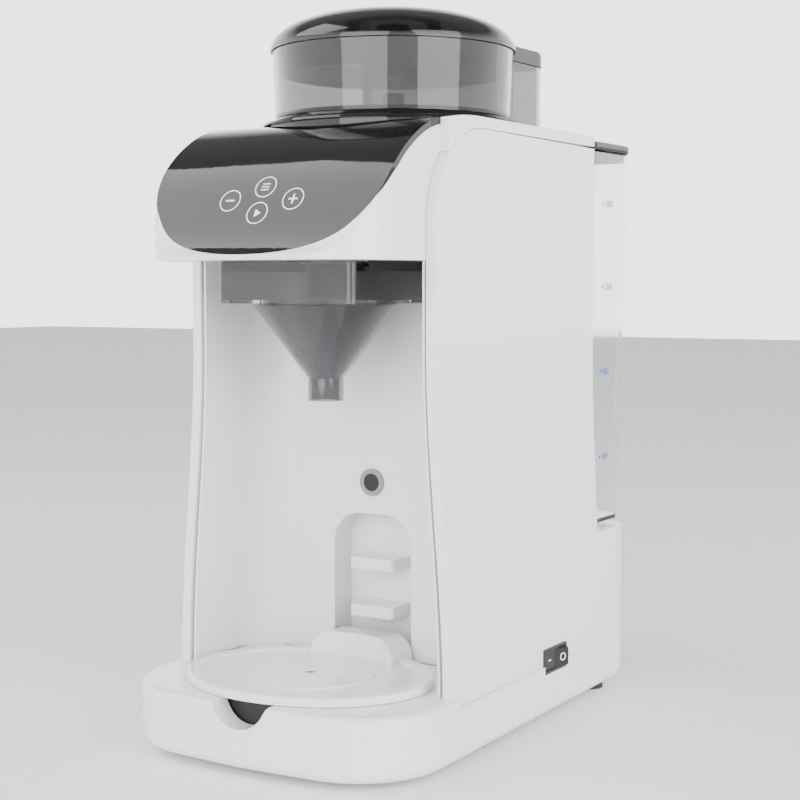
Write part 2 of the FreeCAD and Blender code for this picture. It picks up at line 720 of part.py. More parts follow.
# Pieces in the head and the hopper

def make_hopper():
    """The powder bowl: a neck that drops in the collar, a flared wall and a rear lobe."""
    wall = d.hopper_wall
    low = d.hopper_floor_z
    shelf = d.collar_top_z + d.running_gap
    r0 = d.hopper_radius
    r1 = d.hopper_radius + d.hopper_flare
    neck = d.hopper_neck - 2
    profile = [
        V(0, 0, low), V(neck, 0, low), V(neck, 0, shelf), V(r0, 0, shelf), V(r1, 0, d.hopper_rim_z),
        V(r1 - wall, 0, d.hopper_rim_z), V(r0 - wall, 0, shelf + wall), V(neck - wall, 0, shelf),
        V(neck - wall, 0, low + wall), V(0, 0, low + wall), V(0, 0, low),
    ]
    bowl = Part.Face(Part.makePolygon(profile)).revolve(V(), V(0, 0, 1), 360)
    bowl.translate(V(0, -d.hopper_y, 0))
    half = d.lobe_half_width
    base = d.head_top_z + 0.5
    beside = d.collar_radius + d.running_gap
    over_collar = Part.makeCylinder(beside, shelf - base, V(0, -d.hopper_y, base))
    over_floor = Part.makeCylinder(beside + wall, shelf - base, V(0, -d.hopper_y, base + wall))
    lobe = block(-half, half, 0, d.lobe_rear_y, base, d.hopper_rim_z - 2)
    rear = [e for e in lobe.Edges if abs(e.BoundBox.YMin - d.lobe_rear_y) < 0.01 and e.BoundBox.ZLength > 5]
    lobe = lobe.makeFillet(d.lobe_corner, rear)
    hollow = block(-half + wall, half - wall, 0, d.lobe_rear_y - wall, base + wall, d.hopper_rim_z)
    rear = [e for e in hollow.Edges
            if abs(e.BoundBox.YMin - d.lobe_rear_y + wall) < 0.01 and e.BoundBox.ZLength > 5]
    hollow = hollow.makeFillet(d.lobe_corner - wall, rear)
    lobe = lobe.cut(over_collar)
    hollow = hollow.cut(over_floor)
    round_out = Part.makeCylinder(r1, 200, V(0, -d.hopper_y, 200))
    lobe = lobe.cut(hollow.cut(Part.makeCylinder(r1 + wall, 200, V(0, -d.hopper_y, 200))))
    lobe = lobe.cut(Part.makeCylinder(r0 - wall / 2, 200, V(0, -d.hopper_y, 200)))
    lobe = lobe.cut(lobe.common(round_out).common(block(-90, 90, -90, 40, 0, 400)))
    bowl = bowl.fuse(lobe)
    shaft = Part.makeCylinder(d.shaft_radius + d.shaft_gap, 30, V(0, -d.hopper_y, low - 10))
    outlet = Part.makeCylinder(d.chute_radius - 2, 20, V(0, -d.chute_y, low - 5))
    return bowl.cut(shaft).cut(outlet).removeSplitter()


def dome(radius, low, rise):
    """A low dome with a steep round edge, turned about its own axis."""
    shares = (0.98, 0.9, 0.75, 0.55, 0.3)
    line = [V(radius, 0, low)]
    line += [V(radius * q, 0, low + rise * math.sqrt(1 - q ** 3)) for q in shares]
    line.append(V(0, 0, low + rise))
    spline = Part.BSplineCurve()
    spline.interpolate(Points=line, InitialTangent=V(0, 0, 1), FinalTangent=V(-1, 0, 0))
    edges = [spline.toShape(), Part.makeLine(V(0, 0, low + rise), V(0, 0, low)),
             Part.makeLine(V(0, 0, low), V(radius, 0, low))]
    return Part.Face(Part.Wire(edges)).revolve(V(), V(0, 0, 1), 360)


def make_lid():
    """The domed lid: a flat-topped dome, a skirt inside the bowl and a central boss."""
    z = d.hopper_rim_z + d.running_gap
    r = d.lid_radius
    rise = d.lid_height
    w = d.lid_wall
    inner = d.hopper_radius + d.hopper_flare - d.hopper_wall - 0.5
    full = dome(r, z, rise)
    core = dome(r - w, z - 1, rise + 1 - w)
    depth = d.skirt_depth
    narrow = 3.0
    skirt = Part.makeCone(inner - narrow, inner, depth, V(0, 0, z - depth))
    skirt = skirt.cut(Part.makeCone(inner - w - narrow, inner - w, depth, V(0, 0, z - depth)))
    ring = Part.makeCylinder(r - 1, 2, V(0, 0, z)).cut(Part.makeCylinder(inner - w, 3, V(0, 0, z - 0.5)))
    boss = Part.makeCone(d.hub_radius - 1.5, d.hub_radius + 1.5, z + rise - 2 - 348, V(0, 0, 348))
    lid = full.cut(core).fuse(ring).fuse(skirt).fuse(boss)
    lid.translate(V(0, -d.hopper_y, 0))
    pin_y = d.lid_pin_y
    ear = block(-13, 13, pin_y - 14, pin_y, z + 0.2, z + 7.9)
    ear = ear.fuse(Part.makeCylinder(3.9, 26, V(-13, pin_y, z + 4), V(1, 0, 0)))
    bore = Part.makeCylinder(1.65, 60, V(-30, pin_y, z + 4), V(1, 0, 0))
    return lid.fuse(ear).cut(bore).removeSplitter()


def make_lobe_cap():
    """The fixed cap over the rear lobe, with two knuckles that hold the lid's pin."""
    gap = d.running_gap
    z = d.hopper_rim_z - 2 + gap
    half = d.lobe_half_width + 0.8
    top = block(-half, half, 0, d.lobe_rear_y + 0.8, z, z + 9)
    rear = [e for e in top.Edges
            if abs(e.BoundBox.YMin - d.lobe_rear_y - 0.8) < 0.01 and e.BoundBox.ZLength > 2]
    top = top.makeFillet(d.lobe_corner + 0.8, rear)
    top = top.makeFillet(3.0, flat_edges(top, z + 9))
    clear = Part.makeCylinder(d.lid_radius + 0.5, 60, V(0, -d.hopper_y, z - 5))
    pin_y = d.lid_pin_y
    pin_z = d.hopper_rim_z + gap + 4
    cap = top.cut(clear).cut(block(-13.4, 13.4, 0, pin_y + 4.6, z - 1, z + 20))
    pin = Part.makeCylinder(1.6, 60, V(-30, pin_y, pin_z), V(1, 0, 0))
    return cap.cut(pin).removeSplitter()


def make_drawer():
    """The funnel drawer: an open box with side flanges, a cone and a spout."""
    wall = d.drawer_wall
    half = d.drawer_half_width
    top = d.head_floor_z - d.drawer_gap
    y0 = -d.drawer_front_y
    y1 = -d.drawer_rear_y - 1
    low = d.drawer_bottom_z
    tray = block(-half, half, y0, y1, low, top)
    upright = [e for e in tray.Edges if e.BoundBox.ZLength > 5 and abs(e.BoundBox.YMax - y0) < 0.01]
    tray = tray.makeFillet(4.0, upright)
    inner = block(-half + wall, half - wall, y0 + wall, y1 - wall, low + wall, top + 1)
    drop = low - d.spout_top_z
    y = -d.funnel_y
    cone = Part.makeCone(d.spout_radius, d.cone_radius, drop, V(0, y, d.spout_top_z))
    hollow = Part.makeCone(d.spout_radius - wall, d.cone_radius - wall, drop, V(0, y, d.spout_top_z))
    spout_drop = d.spout_top_z - d.spout_bottom_z
    spout = Part.makeCylinder(d.spout_radius, spout_drop, V(0, y, d.spout_bottom_z))
    bore = Part.makeCylinder(d.spout_radius - wall, spout_drop + 1, V(0, y, d.spout_bottom_z - 0.5))
    mouth = Part.makeCylinder(d.cone_radius - wall, wall + 1, V(0, y, low - 0.5))
    shape = tray.fuse(cone).fuse(spout).cut(inner).cut(hollow).cut(bore).cut(mouth)
    reach = 2.6
    for side in (-1, 1):
        x0 = half if side > 0 else -half - reach
        flange = block(x0 - 0.5 * side, x0 + reach - 0.5 * side, y0 + 8, y1, top - 1.8, top)
        shape = shape.fuse(flange)
    return shape.removeSplitter()


def make_rails():
    """Two L rails under the head that carry the drawer's flanges."""
    rails = []
    top = d.head_floor_z
    low = top - d.rail_height
    half = d.drawer_half_width
    for side in (-1, 1):
        a = half + 2.6 + 0.3
        leg = block(min(side * a, side * (a + 1.8)), max(side * a, side * (a + 1.8)),
                    -d.drawer_front_y + 10, -d.drawer_rear_y - 1, low, top)
        a = half + 0.4
        b = half + 4.7
        foot = block(min(side * a, side * b), max(side * a, side * b),
                     -d.drawer_front_y + 10, -d.drawer_rear_y - 1, low, low + 2.4)
        rails.append(leg.fuse(foot).removeSplitter())
    return Part.makeCompound(rails)


def make_tray():
    """The bottle tray: an oval plate with a raised rim and a hump at the back."""
    y = -d.tray_axis_y
    low = d.rim_top_z + d.running_gap
    plate = slab(oval(d.tray_x, d.tray_y, y), low, low + d.tray_thick + d.tray_rim)
    plate = plate.makeFillet(1.6, flat_edges(plate, low + d.tray_thick + d.tray_rim))
    dish = slab(oval(d.tray_x - 7, d.tray_y - 7, y), low + d.tray_thick, low + 20)
    plate = plate.cut(dish)
    ring = Part.makeCylinder(d.tray_ring_radius, 0.8, V(0, y, low + d.tray_thick))
    ring = ring.cut(Part.makeCylinder(d.tray_ring_radius - 1.6, 3, V(0, y, low)))
    front = -d.hump_front_y
    back = -d.bay_back_y - d.ledge_reach - 0.4
    hump = arch(d.hump_half_width, d.hump_top_z, 12.0, front, back, low)
    top_edges = [e for e in hump.Edges if abs(e.BoundBox.YMax - front) < 0.01 and e.BoundBox.ZMax > low + 1]
    hump = hump.makeFillet(2.4, top_edges)
    scoop = Part.makeCylinder(44.0, 60, V(0, y, low + d.tray_thick))
    hump = hump.cut(scoop)
    limit = base_block(0, 300)
    sides = block(-76, 76, -d.panel_front_y + 2, 0, 0, 400)
    sides = sides.fuse(block(-90, 90, -200, -d.panel_front_y + 2, 0, 400))
    tray = plate.fuse(ring).fuse(hump).common(limit).common(sides)
    return tray.cut(Part.makeCylinder(d.drain_radius, 10, V(0, y, low - 1))).removeSplitter()


def make_pan():
    """The drip pan under the tray, open at the top."""
    y = -d.tray_axis_y
    outer = slab(oval(d.tray_x - 6, d.tray_y - 6, y), d.pan_floor_z, d.rim_top_z - 0.5)
    inner = slab(oval(d.tray_x - 6 - d.pan_wall, d.tray_y - 6 - d.pan_wall, y),
                 d.pan_floor_z + d.pan_wall, d.rim_top_z + 1)
    ribs = block(-2, 2, y - 20, y + 20, d.pan_floor_z - 5.1, d.pan_floor_z)
    return outer.cut(inner).fuse(ribs).removeSplitter()


def straight(start, end, radius):
    """A round run from one point to another."""
    along = end - start
    return Part.makeCylinder(radius, along.Length, start, along)


def hose(points, radius):
    """A hose of straight runs with quarter bends at its square corners."""
    bend = 12.0
    pieces = []
    start = points[0]
    for before, corner, after in zip(points, points[1:], points[2:]):
        back = (before - corner).normalize()
        onward = (after - corner).normalize()
        enter = corner + back * bend
        disc = Part.Face(Part.Wire(Part.makeCircle(radius, enter, back)))
        pieces.append(straight(start, enter, radius))
        pieces.append(disc.revolve(enter + onward * bend, onward.cross(back), 90))
        start = corner + onward * bend
    pieces.append(straight(start, points[-1], radius))
    return pieces[0].fuse(pieces[1:]).removeSplitter()


def make_heater():
    """The block that warms the water, screwed flat to the rear wall."""
    half = d.heater_width / 2
    back = d.slot_y - d.shell_wall
    core = block(d.heater_x - half, d.heater_x + half, back - d.heater_depth, back,
                 d.heater_z, d.heater_z + d.heater_height)
    front = [e for e in core.Edges if e.BoundBox.ZLength > 20 and e.BoundBox.YMax < back - 5]
    return core.makeFillet(5.0, front)


def make_pump():
    """The water pump, lying in the base, with its outlet nozzle on top."""
    z = d.foot_height + d.shell_wall + d.pump_radius
    barrel = Part.makeCylinder(d.pump_radius, d.pump_length, V(0, 0, z), V(0, 1, 0))
    outlet = Part.makeCylinder(d.hose_radius, d.pump_radius + 4, V(0, 10, z))
    return barrel.fuse(outlet).removeSplitter()


def make_hoses():
    """Three water hoses: tank to pump, pump to heater, heater to the mixing nozzle."""
    r = d.hose_radius
    z = d.foot_height + d.shell_wall + d.pump_radius
    y = d.tank_valve_y
    inlet = hose([V(0, y, d.shoulder_z - 19), V(0, y, z), V(0, d.pump_length, z)], r)
    heater = V(d.heater_x, d.heater_y, d.heater_z)
    feed = hose([V(0, 10, z + d.pump_radius + 4), V(0, 10, 66), V(heater.x, 10, 66),
                 V(heater.x, heater.y, 66), heater], r)
    top = d.heater_z + d.heater_height
    high = d.head_floor_z + 22
    nozzle = V(d.nozzle_x, -d.funnel_y - 10.6, d.head_floor_z + 9)
    out = hose([V(heater.x, heater.y, top), V(heater.x, heater.y, top + 26),
                V(d.riser_x, heater.y, top + 26), V(d.riser_x, heater.y, high),
                V(d.riser_x, nozzle.y, high), V(nozzle.x, nozzle.y, high), nozzle], r)
    return Part.makeCompound([inlet, feed, out])


def gear_blank(teeth, module, low, high, bore, phase):
    """A spur gear with straight-sided teeth, thin enough to turn freely."""
    pitch = teeth * module / 2
    tip = pitch + module * 0.5
    root = pitch - module * 0.9
    points = []
    for i in range(teeth):
        middle = phase + 2 * math.pi * i / teeth
        wide = 0.28 * 2 * math.pi / teeth
        thin = 0.10 * 2 * math.pi / teeth
        for turn, radius in ((-wide, root), (-thin, tip), (thin, tip), (wide, root)):
            points.append(V(radius * math.cos(middle + turn), radius * math.sin(middle + turn), low))
    gear = Part.Face(Part.makePolygon(points + points[:1])).extrude(V(0, 0, high - low))
    return gear.cut(Part.makeCylinder(bore, high - low + 2, V(0, 0, low - 1)))


def gear_module():
    return 2 * d.gear_radius / d.gear_teeth


def motor_x():
    """The motor stands beside the gear, at the sum of the pitch radii."""
    return gear_module() * (d.gear_teeth + d.pinion_teeth) / 2


def make_gear():
    low = d.gear_plate_z + 5
    gear = gear_blank(int(d.gear_teeth), gear_module(), low, low + d.gear_thick, d.shaft_radius, 0)
    gear.translate(V(0, -d.hopper_y, 0))
    return gear


def make_pinion():
    """The motor's pinion on its own short shaft."""
    low = d.gear_plate_z + 5
    teeth = int(d.pinion_teeth)
    pinion = gear_blank(teeth, gear_module(), low, low + d.gear_thick, 1.0, math.pi / teeth)
    pinion = pinion.fuse(Part.makeCylinder(2.0, 7.0, V(0, 0, low - 2.2))).removeSplitter()
    pinion.translate(V(motor_x(), -d.hopper_y, 0))
    return pinion


def make_gear_plate():
    """The plate that carries the motor and the drive shaft, on four legs."""
    low = d.gear_plate_z
    floor = d.head_floor_z + d.head_wall
    y0 = -d.hopper_y - 27
    y1 = -d.hopper_y + 29
    x0 = -35.0
    x1 = 48.0
    plate = block(x0, x1, y0, y1, low, low + 2.5)
    for x in (x0, x1 - 6):
        for y in (y0, y1 - 6):
            plate = plate.fuse(block(x, x + 6, y, y + 6, floor, low + 1))
    bush = Part.makeCylinder(6, 9, V(0, -d.hopper_y, low - 7))
    plate = plate.fuse(bush)
    plate = plate.cut(Part.makeCylinder(d.shaft_radius + d.shaft_gap, 40, V(0, -d.hopper_y, low - 20)))
    plate = plate.cut(Part.makeCylinder(3.0, 10, V(motor_x(), -d.hopper_y, low - 5)))
    return plate.removeSplitter()


def make_motor():
    x = motor_x()
    low = d.gear_plate_z
    foot = low - d.motor_length
    barrel = Part.makeCylinder(d.motor_radius * 0.8, d.motor_length, V(x, -d.hopper_y, foot))
    edge = flat_edges(barrel, foot)
    barrel = barrel.makeFillet(2.0, edge)
    return barrel.fuse(Part.makeCylinder(2.6, 2.4, V(x, -d.hopper_y, low)))


def make_stirrer():
    """The stirrer in the bowl: a tapered post with arms that sweep the floor."""
    y = -d.hopper_y
    low = d.hopper_floor_z + d.hopper_wall + d.running_gap
    post = Part.makeCone(d.hub_radius, d.hub_radius - 2, d.post_top_z - low, V(0, y, low))
    reach = d.arm_reach
    for i in range(4):
        arm = block(0, reach, y - 2.2, y + 2.2, low, low + 5)
        arm = arm.cut(block(8, reach + 1, y - 3, y, low + 2.4, low + 6))
        arm.rotate(V(0, y, 0), V(0, 0, 1), 90 * i)
        post = post.fuse(arm)
    ring = Part.makeCylinder(reach, 2.4, V(0, y, low))
    ring = ring.cut(Part.makeCylinder(reach - 2.5, 4, V(0, y, low - 1)))
    post = post.fuse(ring)
    return post.cut(Part.makeCylinder(d.shaft_radius + d.shaft_gap, 20, V(0, y, low - 10))).removeSplitter()


def make_touch_board():
    """The touch key board, leaning against the inside of the hood behind the keys."""
    lean = math.radians(31)
    depth = d.visor_thick + d.head_wall + 2.6
    board = Part.makeBox(56, 1.6, 34, V(-28, 0, -17))
    board.rotate(V(), V(1, 0, 0), -31)
    y = -128.9 + math.cos(lean) * depth
    z = 282.6 - math.sin(lean) * depth
    board.translate(V(0, y, z))
    return board


def make_switch_frame():
    y0 = d.switch_y - d.switch_length / 2 + 0.1
    y1 = d.switch_y + d.switch_length / 2 - 0.1
    z0 = d.switch_z - d.switch_height / 2 + 0.1
    z1 = d.switch_z + d.switch_height / 2 - 0.1
    frame = block(d.rocker_axis_x - 10, d.switch_face_x, y0, y1, z0, z1)
    half = d.rocker_length / 2 + 1.4
    tall = d.rocker_width / 2 + 0.3
    pocket = block(d.rocker_axis_x - 6.5, 100, d.switch_y - half, d.switch_y + half,
                   d.switch_z - tall, d.switch_z + tall)
    pin = Part.makeCylinder(1.2, 2 * tall + 1, V(d.rocker_axis_x, d.switch_y, d.switch_z - tall - 0.5))
    return frame.cut(pocket).fuse(pin).removeSplitter()


def make_rocker():
    """The rocker key: a shallow V that turns on an upright pin."""
    x = d.rocker_axis_x
    y = d.switch_y
    half = d.rocker_length / 2
    low = d.switch_z - d.rocker_width / 2
    points = [V(x - 2.4, y - 3, low), V(x + 3.6, y - half, low), V(x + 6.0, y - half, low),
              V(x + 4.4, y, low), V(x + 6.0, y + half, low), V(x + 3.6, y + half, low),
              V(x - 2.4, y + 3, low)]
    key = Part.Face(Part.makePolygon(points + points[:1])).extrude(V(0, 0, d.rocker_width))
    key = key.cut(Part.makeCylinder(1.25, 40, V(x, y, low - 10)))
    key.rotate(V(x, y, 0), V(0, 0, 1), -8)
    return key


def make_mixing_cover():
    """The plate over the drawer's slot: it holds the powder chute and the nozzle."""
    low = d.head_floor_z + d.head_wall
    half = d.drawer_half_width
    plate = block(-half, half, -d.drawer_front_y + 1, -d.drawer_rear_y - 5.5, low, low + d.cover_thick)
    plate = plate.cut(Part.makeCylinder(d.chute_radius - 1.8, 10, V(0, -d.chute_y, low - 2)))
    return plate.cut(Part.makeCylinder(4.05, 10, V(d.nozzle_x, -d.funnel_y - 10.6, low - 2)))


def make_nozzle():
    low = d.head_floor_z + 0.5
    spot = V(d.nozzle_x, -d.funnel_y - 10.6, low)
    plate_top = d.head_floor_z + d.head_wall + d.cover_thick
    tip = Part.makeCylinder(4.0, d.head_floor_z + 9 - low, spot)
    flange = Part.makeCylinder(6.5, 2.0, V(spot.x, spot.y, plate_top))
    return tip.fuse(flange).cut(Part.makeCylinder(1.5, 30, V(spot.x, spot.y, low - 5))).removeSplitter()


def make_socket():
    """The water socket under the tank, with a pin that lifts the tank's valve."""
    r = d.valve_radius
    y = d.tank_valve_y
    top = d.shoulder_z
    cup = Part.makeCylinder(r + 5 - 0.05, 12, V(0, y, top - 12))
    cup = cup.cut(Part.makeCylinder(r + 2.3, 12, V(0, y, top - 9.5)))
    flange = Part.makeCylinder(r + 8, 1.2, V(0, y, top))
    flange = flange.cut(Part.makeCylinder(r + 2.3, 5, V(0, y, top - 1)))
    pipe = Part.makeCylinder(d.hose_radius, 7, V(0, y, top - 19))
    pin = Part.makeCylinder(1.2, 5.6, V(0, y, top - 10))
    return cup.fuse(flange).fuse(pipe).fuse(pin).removeSplitter()


def make_valve():
    """The tank's valve: a disc over the outlet on a stem, lifted while the tank stands."""
    y = d.tank_valve_y
    floor = d.tank_bottom_z + d.tank_wall
    disc = Part.makeCylinder(d.valve_radius + 1.6, 2, V(0, y, floor + 2.6))
    stem = Part.makeCylinder(1.6, 13, V(0, y, floor + 3 - 12.6))
    guide = Part.makeCylinder(d.valve_radius - 0.4, 1.5, V(0, y, floor - 3.5))
    vanes = guide
    for x0, x1 in ((-20, -1.5), (1.5, 20)):
        for y0, y1 in ((y + 1.5, y + 20), (y - 20, y - 1.5)):
            vanes = vanes.cut(block(x0, x1, y0, y1, 0, 200))
    return disc.fuse(stem).fuse(vanes).removeSplitter()


# Build every node

shaped("base_shell", make_base_shell())
shaped("base_rim", make_base_rim())
shaped("left_side_panel", make_panel(-1))
shaped("right_side_panel", make_panel(1))
shaped("bay_liner", make_bay_liner())
shaped("head_shell", make_head_shell())
shaped("control_panel", make_visor())
shaped("touch_board", make_touch_board())
shaped("rear_cover", make_rear_cover())
shaped("water_tank", make_tank())
shaped("tank_lid", make_tank_lid())
shaped("tank_valve", make_valve())
shaped("tank_socket", make_socket())
shaped("powder_hopper", make_hopper())
shaped("hopper_lid", make_lid())
shaped("lobe_cap", make_lobe_cap())
shaped("stirrer", make_stirrer())
shaped("drive_gear", make_gear())
shaped("motor_pinion", make_pinion())
shaped("gear_plate", make_gear_plate())
shaped("dosing_motor", make_motor())
shaped("mixing_cover", make_mixing_cover())
shaped("water_nozzle", make_nozzle())
shaped("funnel_drawer", make_drawer())
shaped("drawer_rails", make_rails())
shaped("bottle_tray", make_tray())
shaped("drip_pan", make_pan())
shaped("water_heater", make_heater())
shaped("water_pump", make_pump())
shaped("water_hoses", make_hoses())
shaped("switch_frame", make_switch_frame())
shaped("power_rocker", make_rocker())

turned("hopper_collar", [
    ("hopper_neck", "head_top_z - 10"), ("collar_radius - 3.3", "head_top_z - 10"),
    ("collar_radius - 3.3", "head_top_z + running_gap"),
    ("collar_radius", "head_top_z + running_gap"),
    ("collar_radius - 0.6", "head_top_z + 1.6"),
    ("hopper_radius + 1.6", "collar_top_z - 1.4"), ("hopper_radius", "collar_top_z"),
    ("hopper_neck", "collar_top_z"),
], y="-hopper_y")

turned("drive_shaft", [
    ("0", "gear_plate_z - 12"), ("shaft_radius + 2", "gear_plate_z - 12"),
    ("shaft_radius + 2", "gear_plate_z - 7.3"), ("shaft_radius", "gear_plate_z - 7.3"),
    ("shaft_radius", "hopper_floor_z + 8"), ("0", "hopper_floor_z + 8"),
], y="-hopper_y")

turned("powder_chute", [
    ("chute_radius - 1.8", "head_floor_z + head_wall + cover_thick"),
    ("chute_radius + 2", "head_floor_z + head_wall + cover_thick"),
    ("chute_radius + 2", "head_floor_z + head_wall + cover_thick + 1.6"),
    ("chute_radius", "head_floor_z + head_wall + cover_thick + 1.6"),
    ("chute_radius", "hopper_floor_z - running_gap"),
    ("chute_radius - 1.8", "hopper_floor_z - running_gap"),
], y="-chute_y")

turned("socket_seal", [
    ("valve_radius + 2.3", "shoulder_z + 1.2"), ("valve_radius + 7", "shoulder_z + 1.2"),
    ("valve_radius + 7", "tank_bottom_z - running_gap"),
    ("valve_radius + 2.3", "tank_bottom_z - running_gap"),
], y="tank_valve_y")

feet = []
for side in ("-", ""):
    for spot in ("-foot_front_y", "foot_rear_y"):
        name = "foot_%d" % len(feet)
        feet.append(cylinder(name, "foot_radius", "foot_height", side + "foot_x", spot, "0"))
keep(group("foot_group", feet), "rubber_feet")

screws = []
for side in ("-", ""):
    for spot in ("front_screw_y", "rear_screw_y"):
        name = "screw_%d" % len(screws)
        head = cylinder(name + "_head", "screw_head", "1.6", side + "screw_x", spot, "foot_height - 1.6")
        shank = cylinder(name + "_shank", "screw_radius", "12", side + "screw_x", spot, "foot_height - 0.1")
        screws.append(fuse(name, [head, shank]))
keep(group("screw_group", screws), "case_screws")

bezel = cylinder("bezel_round", "sensor_radius", "8", "0", "-bay_back_y - 1", "sensor_z", "y")
bezel_bore = cylinder("bezel_bore", "lens_radius", "10", "0", "-bay_back_y - 2", "sensor_z", "y")
keep(cut("bezel_ring", bezel, bezel_bore), "sensor_bezel")
keep(cylinder("lens_round", "lens_radius - shaft_gap", "6.6", "0", "-bay_back_y - 0.6", "sensor_z", "y"),
     "sensor_lens")

keep(box("supply_block", "48", "48", "20", "32", "40", "foot_height + shell_wall"), "power_supply")
keep(box("board_plate", "board_width", "board_thick", "board_height", "-board_x",
         "slot_y - shell_wall - standoff - board_thick", "board_z"), "main_board")

inlet_block = box("inlet_block", "inlet_width - 0.2", "14", "inlet_height - 0.2", "-inlet_x",
                  "base_rear_y - 13.4", "inlet_z - inlet_height / 2 + 0.1")
inlet_hole = box("inlet_hole", "inlet_width - 6", "12", "inlet_height - 7", "-inlet_x",
                 "base_rear_y - 10.4", "inlet_z - inlet_height / 2 + 3.5")
keep(cut("inlet_body", inlet_block, inlet_hole), "mains_inlet")

keep(cylinder("lid_pin_round", "1.6", "44", "-22", "lid_pin_y",
              "hopper_rim_z + running_gap + 4", "x"), "lid_hinge_pin")
keep(cylinder("tank_pin_round", "1.55", "132", "-66", "slot_y + 4.2", "tank_top_z + running_gap + 3", "x"),
     "tank_lid_pin")

doc.recompute()


def report_faults():
    faults = []
    for thing in doc.Objects:
        if "Invalid" in thing.State or "Error" in thing.State:
            faults.append("%s: %s" % (thing.Name, thing.State))
    for thing in nodes:
        if thing.Shape.isNull() or not thing.Shape.isValid() or thing.Shape.Volume <= 0:
            faults.append("%s: shape" % thing.Label)
    return faults


def write_parts():
    faults = report_faults()
    if faults:
        raise RuntimeError("; ".join(faults))
    os.makedirs("parts", exist_ok=True)
    for thing in nodes:
        thing.Shape.exportStep("parts/%s.step" % thing.Label)
        bounds = thing.Shape.BoundBox
        print("%-20s %2d solids %8.0f mm3  x %.1f..%.1f y %.1f..%.1f z %.1f..%.1f" % (
            thing.Label, len(thing.Shape.Solids), thing.Shape.Volume, bounds.XMin, bounds.XMax,
            bounds.YMin, bounds.YMax, bounds.ZMin, bounds.ZMax))


write_parts()
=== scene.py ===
import bpy
import bmesh
import json
import math
from mathutils import Matrix, Vector
from mathutils.bvhtree import BVHTree


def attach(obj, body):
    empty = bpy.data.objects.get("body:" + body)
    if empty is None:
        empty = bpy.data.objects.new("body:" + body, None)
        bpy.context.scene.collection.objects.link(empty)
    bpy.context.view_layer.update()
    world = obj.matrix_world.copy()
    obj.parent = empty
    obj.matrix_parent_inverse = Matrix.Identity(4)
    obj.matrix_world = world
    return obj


# Lengths are in metres, apart from those of the marks, which are in millimetres.
# X is to the right of someone facing the front, -Y is the front and Z is up,
# with the origin under the machine.

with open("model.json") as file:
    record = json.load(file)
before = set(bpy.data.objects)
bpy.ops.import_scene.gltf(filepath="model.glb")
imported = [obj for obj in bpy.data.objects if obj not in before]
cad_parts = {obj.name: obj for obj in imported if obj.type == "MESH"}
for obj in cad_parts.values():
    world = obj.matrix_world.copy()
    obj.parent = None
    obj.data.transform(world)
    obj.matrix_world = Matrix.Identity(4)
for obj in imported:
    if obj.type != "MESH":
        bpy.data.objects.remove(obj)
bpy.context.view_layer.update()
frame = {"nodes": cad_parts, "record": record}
NODES = frame["nodes"]
MM = 0.001

# Camera, fitted to edges of the photograph, with its angles in degrees
CAMERA_PLACE = Vector((0.4796, -0.7752, 0.242))
CAMERA_AZIMUTH = 31.75
CAMERA_DROP = 4.1
CAMERA_LENS = 73.5
SENSOR = 36.0


# Materials

BROAD_SCALE = 14.0
BROAD_DETAIL = 4.0
GRAIN_SCALE = 900.0
GRAIN_DETAIL = 3.0
GRAIN_DEPTH = 0.0004
LEAST_ROUGH = 0.01
COAT_ROUGH = 0.06
PLASTIC_IOR = 1.46


def surface(name, colour, rough, grain=0.04, relief=0.02, shade=0.04,
            metal=0.0, clear=0.0, coat=0.0, stretch=(1, 1, 1)):
    """A moulded or metal surface with a fine grain, uneven gloss and slight colour change."""
    made = bpy.data.materials.new(name)
    made.use_nodes = True
    nodes = made.node_tree.nodes
    join = made.node_tree.links.new
    shader = nodes["Principled BSDF"]
    shader.inputs["Metallic"].default_value = metal
    shader.inputs["Transmission Weight"].default_value = clear
    shader.inputs["IOR"].default_value = PLASTIC_IOR
    shader.inputs["Coat Weight"].default_value = coat
    shader.inputs["Coat Roughness"].default_value = COAT_ROUGH
    place = nodes.new("ShaderNodeTexCoord")
    spread = nodes.new("ShaderNodeMapping")
    spread.inputs["Scale"].default_value = stretch
    join(place.outputs["Object"], spread.inputs["Vector"])
    broad = nodes.new("ShaderNodeTexNoise")
    broad.inputs["Scale"].default_value = BROAD_SCALE
    broad.inputs["Detail"].default_value = BROAD_DETAIL
    join(spread.outputs["Vector"], broad.inputs["Vector"])
    fine = nodes.new("ShaderNodeTexNoise")
    fine.inputs["Scale"].default_value = GRAIN_SCALE
    fine.inputs["Detail"].default_value = GRAIN_DETAIL
    join(spread.outputs["Vector"], fine.inputs["Vector"])
    gloss = nodes.new("ShaderNodeMapRange")
    gloss.inputs["To Min"].default_value = max(rough - grain, LEAST_ROUGH)
    gloss.inputs["To Max"].default_value = rough + grain
    join(broad.outputs["Fac"], gloss.inputs["Value"])
    join(gloss.outputs["Result"], shader.inputs["Roughness"])
    tint = nodes.new("ShaderNodeMix")
    tint.data_type = "RGBA"
    tint.inputs["A"].default_value = (*colour, 1)
    tint.inputs["B"].default_value = (*[c * (1 - shade) for c in colour], 1)
    join(broad.outputs["Fac"], tint.inputs["Factor"])
    join(tint.outputs["Result"], shader.inputs["Base Color"])
    bump = nodes.new("ShaderNodeBump")
    bump.inputs["Strength"].default_value = relief
    bump.inputs["Distance"].default_value = GRAIN_DEPTH
    join(fine.outputs["Fac"], bump.inputs["Height"])
    join(bump.outputs["Normal"], shader.inputs["Normal"])
    return made


# What the smooth parts share, and what the see-through ones add to it
GLASSY = {"grain": 0.02, "relief": 0.004}
SEE_THROUGH = {"clear": 1.0, **GLASSY}

